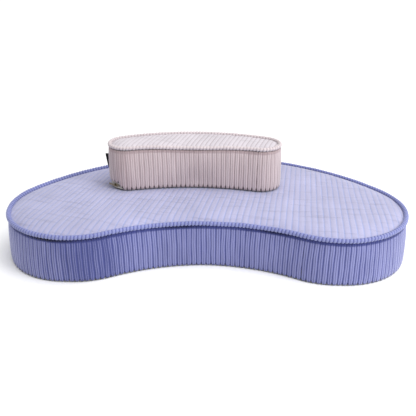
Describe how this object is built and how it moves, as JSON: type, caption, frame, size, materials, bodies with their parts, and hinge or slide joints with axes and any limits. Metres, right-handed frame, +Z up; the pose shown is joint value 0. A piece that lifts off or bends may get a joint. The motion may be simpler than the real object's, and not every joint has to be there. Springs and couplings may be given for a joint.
{
  "type": "floor lounge mat with back cushion",
  "caption": "Bean-shaped corduroy floor mat with a smaller bean-shaped back cushion resting on it; both are foam blocks in zipped, piped covers.",
  "frame": {"origin": "on the floor, at the centre of the mat's footprint", "axes": "+X along the mat's width, -Y towards the hollow waist at the front, +Z up"},
  "size_m": [1, 0.5413, 0.2477],
  "materials": {
    "blue_corduroy_top": "matte",
    "blue_corduroy_side": "matte",
    "beige_corduroy_top": "matte",
    "beige_corduroy_side": "matte",
    "base_cloth": "matte",
    "foam": "matte",
    "piping_cord": "matte",
    "zip_tape": "matte",
    "zip_coil": "satin",
    "zip_metal": "satin",
    "label_weave": "matte"
  },
  "bodies": {
    "mat": {"mat_foam_core": "foam", "mat_base_panel": "base_cloth", "mat_side_band": "blue_corduroy_side", "mat_top_panel": "blue_corduroy_top", "mat_piping_sleeve": "blue_corduroy_side", "mat_piping_cord": "piping_cord", "mat_zip_tape_lower": "zip_tape", "mat_zip_tape_upper": "zip_tape", "mat_zip_coil_lower": "zip_coil", "mat_zip_coil_upper": "zip_coil", "mat_zip_stop_closed_end": "zip_metal", "mat_zip_stop_open_end": "zip_metal"},
    "backrest": {"backrest_foam_core": "foam", "backrest_base_panel": "base_cloth", "backrest_side_band": "beige_corduroy_side", "backrest_top_panel": "beige_corduroy_top", "backrest_piping_sleeve": "beige_corduroy_side", "backrest_piping_cord": "piping_cord", "backrest_zip_tape_lower": "zip_tape", "backrest_zip_tape_upper": "zip_tape", "backrest_zip_coil_lower": "zip_coil", "backrest_zip_coil_upper": "zip_coil", "backrest_zip_stop_closed_end": "zip_metal", "backrest_zip_stop_open_end": "zip_metal", "backrest_label_tab": "label_weave"},
    "mat_slider": {"mat_zip_slider": "zip_metal"},
    "mat_pull": {"mat_zip_pull": "zip_metal"},
    "backrest_slider": {"backrest_zip_slider": "zip_metal"},
    "backrest_pull": {"backrest_zip_pull": "zip_metal"}
  },
  "joints": [
    {"name": "backrest_lift", "type": "slide", "parent": "mat", "child": "backrest", "axis": [0, 0, 1], "range_m": [0, 0.25]},
    {"name": "mat_zip_travel", "type": "hinge", "parent": "mat", "child": "mat_slider", "pos_m": [0, -0.28694, 0.0115], "axis": [0, 0, 1], "range_deg": [0, 60]},
    {"name": "mat_pull_swing", "type": "hinge", "parent": "mat_slider", "child": "mat_pull", "pos_m": [0.27823, 0.1946, 0.0115], "axis": [0, 0, -1], "range_deg": [0, 160]},
    {"name": "backrest_zip_travel", "type": "hinge", "parent": "backrest", "child": "backrest_slider", "pos_m": [-0.2105, 0.031, 0.1368], "axis": [0, 0, -1], "range_deg": [0, 94.5]},
    {"name": "backrest_pull_swing", "type": "hinge", "parent": "backrest_slider", "child": "backrest_pull", "pos_m": [-0.24382, -0.00918, 0.1368], "axis": [0, 0, 1], "range_deg": [0, 160]}
  ]
}
